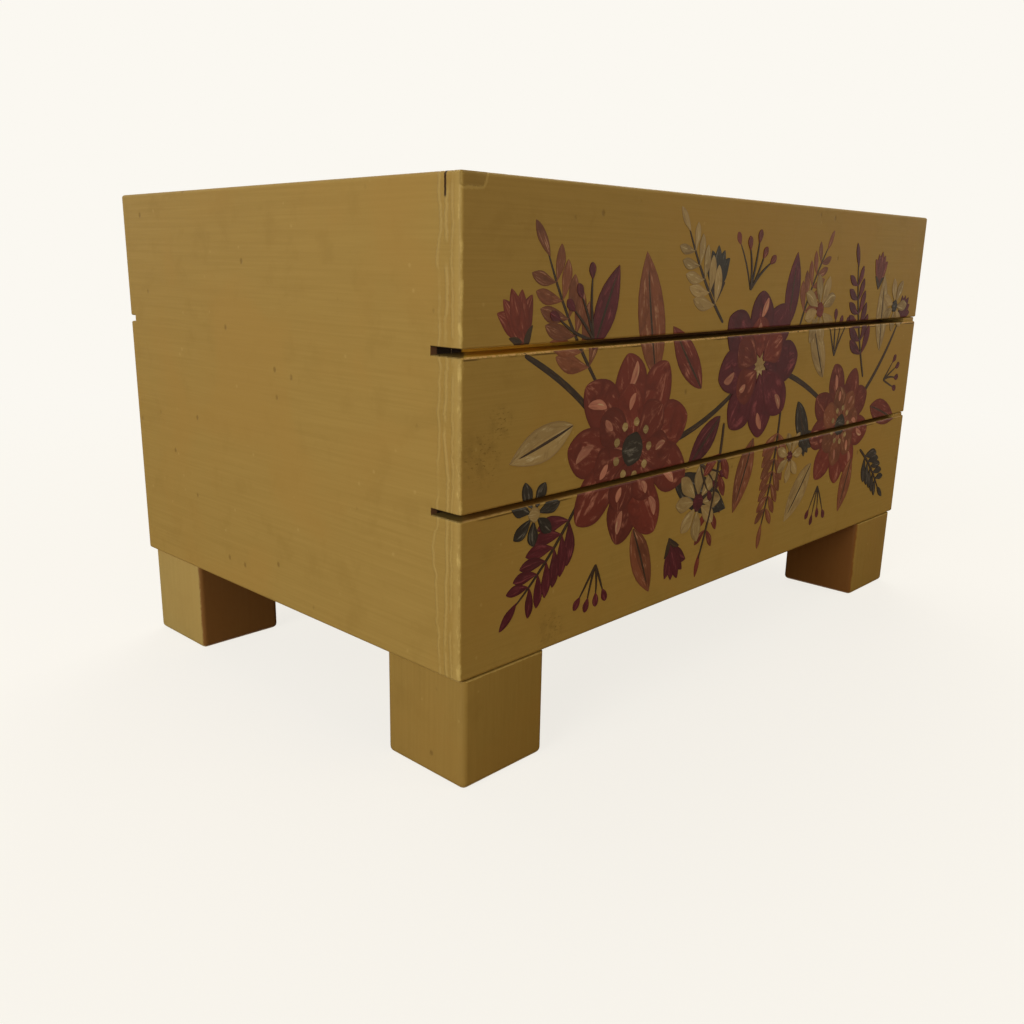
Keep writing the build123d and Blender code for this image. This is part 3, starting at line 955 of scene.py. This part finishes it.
vine((((18, 92), (52, 66), 0.12), ((52, 66), (110, 84), -0.16), ((110, 84), (164, 62), 0.14),
      ((164, 62), (200, 92), -0.14)), 1.6)
fern((44, 82), (24, 113), 6, 13, "rust")
fern((38, 60), (16, 38), 6, 12, "wine")
fern((92, 96), (74, 119), 5, 11, "cream")
fern((126, 72), (120, 36), 7, 11, "rust")
fern((178, 76), (166, 112), 6, 11, "wine")
fern((182, 52), (200, 36), 5, 10, "coal")
fern((96, 70), (88, 34), 5, 10, "brick")
fern((132, 92), (146, 116), 5, 10, "rust")
for root, tip, width, tint in (
        ((64, 84), (58, 113), 13, "rust"), ((74, 58), (100, 46), 12, "coal"),
        ((58, 48), (66, 30), 10, "rust"), ((84, 80), (70, 96), 10, "brick"),
        ((126, 94), (128, 114), 10, "wine"), ((94, 72), (80, 60), 9, "wine"),
        ((150, 78), (140, 96), 10, "cream"), ((148, 52), (134, 36), 11, "cream"),
        ((186, 66), (206, 60), 11, "brick"), ((188, 84), (186, 108), 10, "cream"),
        ((34, 76), (14, 70), 10, "cream"), ((112, 64), (104, 44), 10, "rust"),
        ((136, 72), (144, 56), 9, "coal"), ((40, 92), (48, 110), 9, "wine"),
        ((176, 50), (170, 33), 10, "rust")):
    leaf(root, tip, width, tint)
for root, angle, count, length, tint in (
        ((40, 94), 2.2, 4, 13, "wine"), ((86, 60), -0.5, 4, 11, "wine"), ((104, 104), 1.35, 5, 13, "brick"),
        ((154, 44), -1.6, 4, 10, "wine"), ((194, 74), 0.2, 4, 11, "wine"), ((44, 42), -1.7, 4, 10, "wine"),
        ((156, 84), 1.5, 4, 12, "wine")):
    sprig(root, angle, count, length, tint)
flower((56, 68), 24, 9, "brick", "brick", "coal", 0.3)
flower((112, 84), 21, 8, "wine", "brick", "cream", 0.1)
flower((165, 62), 20, 9, "brick", "rust", "coal", 0.5)
daisy((86, 50), 11, 8, "cream", "wine")
daisy((144, 98), 10, 8, "cream", "brick", 0.3)
daisy((22, 58), 8, 7, "coal", "cream", 0.2)
daisy((196, 98), 9, 7, "cream", "coal", 0.1)
daisy((134, 56), 8, 7, "cream", "wine", 0.1)
for root, angle, size, tint in (
        ((18, 93), 1.9, 13, "brick"), ((88, 102), 1.6, 13, "coal"), ((138, 62), -0.5, 10, "coal"),
        ((200, 92), 0.9, 11, "wine"), ((74, 42), -1.2, 12, "wine"), ((182, 104), 1.5, 11, "brick")):
    bud(root, angle, size, tint)
print("strokes of the brush:", coats["count"])

# %% [markdown]
# The garland was painted over closed drawers, so it breaks at the joints and follows the
# rounded edges a little way in. Each drawer gets a copy of the whole garland, cut at its own front's
# height with bisect_plane. Then each stroke is given its thickness by extruding the sheet back to the wood.

# %% Cut the garland into three
seam_round, wrap_depth = 0.45, 0.34    # rounding of a front's edge, and how far round it the paint goes


def cut_level(bm, height, upwards, clear):
    geometry = bm.verts[:] + bm.edges[:] + bm.faces[:]
    bmesh.ops.bisect_plane(bm, geom=geometry, dist=1e-5, plane_co=(0, 0, height),
                           plane_no=(0, 0, 1 if upwards else -1), clear_outer=clear)


def wood_surface(height, low, high):
    """How far the front's face lies behind its plane, at a height near one of its rounded edges."""
    past = max(height - (high - seam_round), (low + seam_round) - height, 0.0)
    past = min(past, seam_round * 0.98)
    return seam_round - math.sqrt(seam_round ** 2 - past ** 2)


def garland_part(drawer):
    low, high = (corner.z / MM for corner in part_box(drawer + "_drawer_front"))
    bm = canvas.copy()
    level = bm.verts.layers.float["level"]
    for edge, upwards in ((high, True), (low, False)):
        inward = -1 if upwards else 1
        cut_level(bm, edge + inward * (seam_round - wrap_depth), upwards, True)
        # two more cuts that remove nothing, so that the sheet can bend round the edge
        cut_level(bm, edge + inward * seam_round * 0.5, upwards, False)
        cut_level(bm, edge + inward * seam_round, upwards, False)
    made = bmesh.ops.extrude_face_region(bm, geom=bm.faces[:])
    backs = {item for item in made["geom"] if isinstance(item, bmesh.types.BMVert)}
    for vert in bm.verts:
        depth = wood_surface(vert.co.z, low, high)
        proud = -0.02 if vert in backs else vert[level]
        vert.co = Vector((low_mm.x + vert.co.x, front_mm + depth - proud, vert.co.z)) * MM
    bmesh.ops.recalc_face_normals(bm, faces=bm.faces[:])
    piece = add_piece(drawer + "_garland", bm)
    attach(piece, drawer + "_drawer")
    print(piece.name, len(piece.data.polygons), "faces")
    return piece


# %% [markdown]
# The brush leaves bristle marks along each stroke: long thin noise on the stroke's own UV map lets the
# lighter paint through, most where the load of the brush ran out.

# %% Finish of the strokes
stroke_gloss = 0.25


def stroke_material():
    material, g, shader = begin_material("brush_strokes")
    uv = g.add("ShaderNodeUVMap", uv_map="stroke").outputs[0]
    paint = g.add("ShaderNodeAttribute", attribute_name="paint").outputs["Color"]
    light = g.add("ShaderNodeAttribute", attribute_name="light").outputs["Color"]
    bristles = g.noise(g.stretch(uv, (0.16, 2.6, 1.0)), 1.0, 4.0, 0.65, 0.25)
    pools = g.noise(g.stretch(uv, (0.22, 0.8, 1.0)), 1.0, 3.0, 0.6, 0.6)
    rim = g.add("ShaderNodeAttribute", attribute_name="rim").outputs["Fac"]
    dry = g.times(g.step(bristles, 0.5, 0.66), g.step(pools, 0.4, 0.6))
    dry = g.times(dry, g.step(rim, 0.95, 0.6))
    tone = g.mix(g.times(dry, 0.85), paint, light)
    wet = g.mix(1.0, tone, (0.5, 0.42, 0.4, 1), "MULTIPLY")
    pooled = g.larger(g.step(pools, 0.52, 0.3), g.times(g.step(rim, 0.7, 1.0), 0.8))
    tone = g.mix(g.times(pooled, 0.6), tone, wet)
    rough = g.plus(0.34, g.times(bristles, 0.3))
    join_surface(g, shader, tone, rough, stroke_gloss, g.plus(bristles, pools), 0.06)
    return material


strokes = stroke_material()
for drawer in ("top", "middle", "bottom"):
    garland_part(drawer).data.materials.append(strokes)
canvas.free()

# %% [markdown]
# ## Stage, light and camera
# The floor and backdrop are plain and pale. To the camera the floor shines in the backdrop's colour and
# keeps a soft shadow near the box; to all other rays it is a dull brown that throws a little warm light up.

# %% Floor
backdrop_colour = colour(251, 248, 241)
bounce_colour = colour(104, 72, 38)
lit_floor = 0.74    # how bright the lamps make a white floor, away from the shadow
shadow_from, shadow_to, shadow_depth = 0.6, 0.12, 0.22    # fades in between two distances in metres


def pale_floor():
    """The camera sees a pale floor with a soft shadow that fades into the backdrop."""
    bm = bmesh.new()
    bmesh.ops.create_circle(bm, cap_ends=True, radius=6.0, segments=64)
    floor = add_piece("floor", bm)
    material, g, shader = begin_material("floor_pale")
    place = g.add("ShaderNodeTexCoord").outputs["Object"]
    distance = g.add("ShaderNodeVectorMath", {0: place}, operation="LENGTH").outputs["Value"]
    shadow_share = g.times(g.step(distance, shadow_from, shadow_to), shadow_depth)
    path = g.add("ShaderNodeLightPath").outputs
    shader["Base Color"].default_value = bounce_colour
    shader["Roughness"].default_value = 0.9
    caught = g.mix(shadow_share, (0, 0, 0, 1), (1.0, 0.98, 0.94, 1))
    shadow = g.add("ShaderNodeBsdfDiffuse", {"Color": caught}).outputs[0]
    strength = g.minus(1.0, g.times(shadow_share, lit_floor))
    plain = g.add("ShaderNodeEmission", {"Color": backdrop_colour, "Strength": strength}).outputs[0]
    camera_look = g.add("ShaderNodeAddShader", {0: plain, 1: shadow}).outputs[0]
    dull = shader["Base Color"].node.outputs["BSDF"]
    both = g.add("ShaderNodeMixShader", {0: path["Is Camera Ray"], 1: dull, 2: camera_look})
    output = next(node for node in material.node_tree.nodes if node.type == "OUTPUT_MATERIAL")
    # from below the floor isn't there, so that the underside of the box can be looked at; and a ray
    # that ends after a millimetre comes from the sole of a foot, which would be black without light
    below = g.add("ShaderNodeNewGeometry").outputs["Backfacing"]
    below = g.larger(below, g.math("LESS_THAN", path["Ray Length"], MM))
    clear = g.add("ShaderNodeBsdfTransparent").outputs[0]
    shown = g.add("ShaderNodeMixShader", {0: below, 1: both.outputs[0], 2: clear})
    g.feed(output.inputs["Surface"], shown.outputs[0])
    floor.data.materials.append(material)


pale_floor()
print("floor ready")

# %% [markdown]
# The world gives a little warm light from all round. The camera, and whatever is mirrored or seen
# through glass, gets the plain backdrop colour instead.

# %% The world
world_light, world_strength = (1.0, 0.9, 0.74, 1), 0.26
world = bpy.data.worlds.new("studio")
bpy.context.scene.world = world
world.use_nodes = True
world.node_tree.nodes.clear()
g = Graph(world.node_tree)
path = g.add("ShaderNodeLightPath").outputs
mirrored = g.larger(path["Is Glossy Ray"], path["Is Transmission Ray"])
seen = g.larger(path["Is Camera Ray"], mirrored)
soft_light = g.add("ShaderNodeBackground", {"Color": world_light, "Strength": world_strength})
backdrop = g.add("ShaderNodeBackground", {"Color": backdrop_colour, "Strength": 1.0})
choice = g.add("ShaderNodeMixShader", {0: seen, 1: soft_light.outputs[0], 2: backdrop.outputs[0]})
g.feed(g.add("ShaderNodeOutputWorld").inputs["Surface"], choice.outputs[0])
print("world strength", world_strength)

# %% [markdown]
# Four round area lamps light the box. The strongest, low on the left, lights the end more than the
# fronts. A weak yellow one in front gives the fronts their deeper ochre. One above and one behind
# keep the top, the back and the open drawers readable.

# %% Lamps
middle = (case_low + case_high) / 2


def soft_lamp(name, place, size, power, tint):
    light = bpy.data.lights.new(name, "AREA")
    light.shape = "DISK"
    light.size = size
    light.energy = power
    light.color = tint
    lamp = bpy.data.objects.new(name, light)
    lamp.location = place
    lamp.rotation_euler = (middle - Vector(place)).to_track_quat("-Z", "Y").to_euler()
    bpy.context.scene.collection.objects.link(lamp)


soft_lamp("window_side", (-1.25, -0.22, 0.34), 0.8, 9.6, (1.0, 0.99, 0.96))
soft_lamp("fill_side", (0.5, -1.1, 0.3), 0.7, 2.8, (1.0, 0.84, 0.42))
soft_lamp("top_side", (0.2, 0.5, 1.4), 0.9, 3.0, (1.0, 0.97, 0.92))
soft_lamp("far_side", (1.0, 0.75, 0.85), 1.1, 7.0, (1.0, 0.96, 0.88))
print("lamps:", [light.name for light in bpy.data.lights])

# %% [markdown]
# The camera stands low, just under the top edge, turned 46 degrees from the fronts. Its place, turn and
# focal length were solved from the straight edges of the box in the photograph.

# %% Camera
camera_place = Vector((-235.06, -202.44, 110.5)) * MM
camera_right = Vector((0.70036827, -0.7136325, 0.01459253))
camera_down = Vector((-0.17533194, -0.19181874, -0.9656419))
focal_pixels = 968.07
picture_centre = (496.98, 520.72)
picture_side = 1024
lens_data = bpy.data.cameras.new("camera")
lens_data.sensor_width = 36.0
lens_data.lens = focal_pixels / picture_side * lens_data.sensor_width
lens_data.shift_x = (picture_side / 2 - picture_centre[0]) / picture_side
lens_data.shift_y = (picture_centre[1] - picture_side / 2) / picture_side
lens_data.clip_start = 0.01
camera = bpy.data.objects.new("camera", lens_data)
backward = camera_right.cross(-camera_down)
turn = Matrix((camera_right, -camera_down, backward)).transposed()
camera.matrix_world = Matrix.Translation(camera_place) @ turn.to_4x4()
bpy.context.scene.collection.objects.link(camera)
bpy.context.scene.camera = camera
bpy.context.scene.view_settings.view_transform = "Standard"
print("lens:", round(lens_data.lens, 2), "mm")
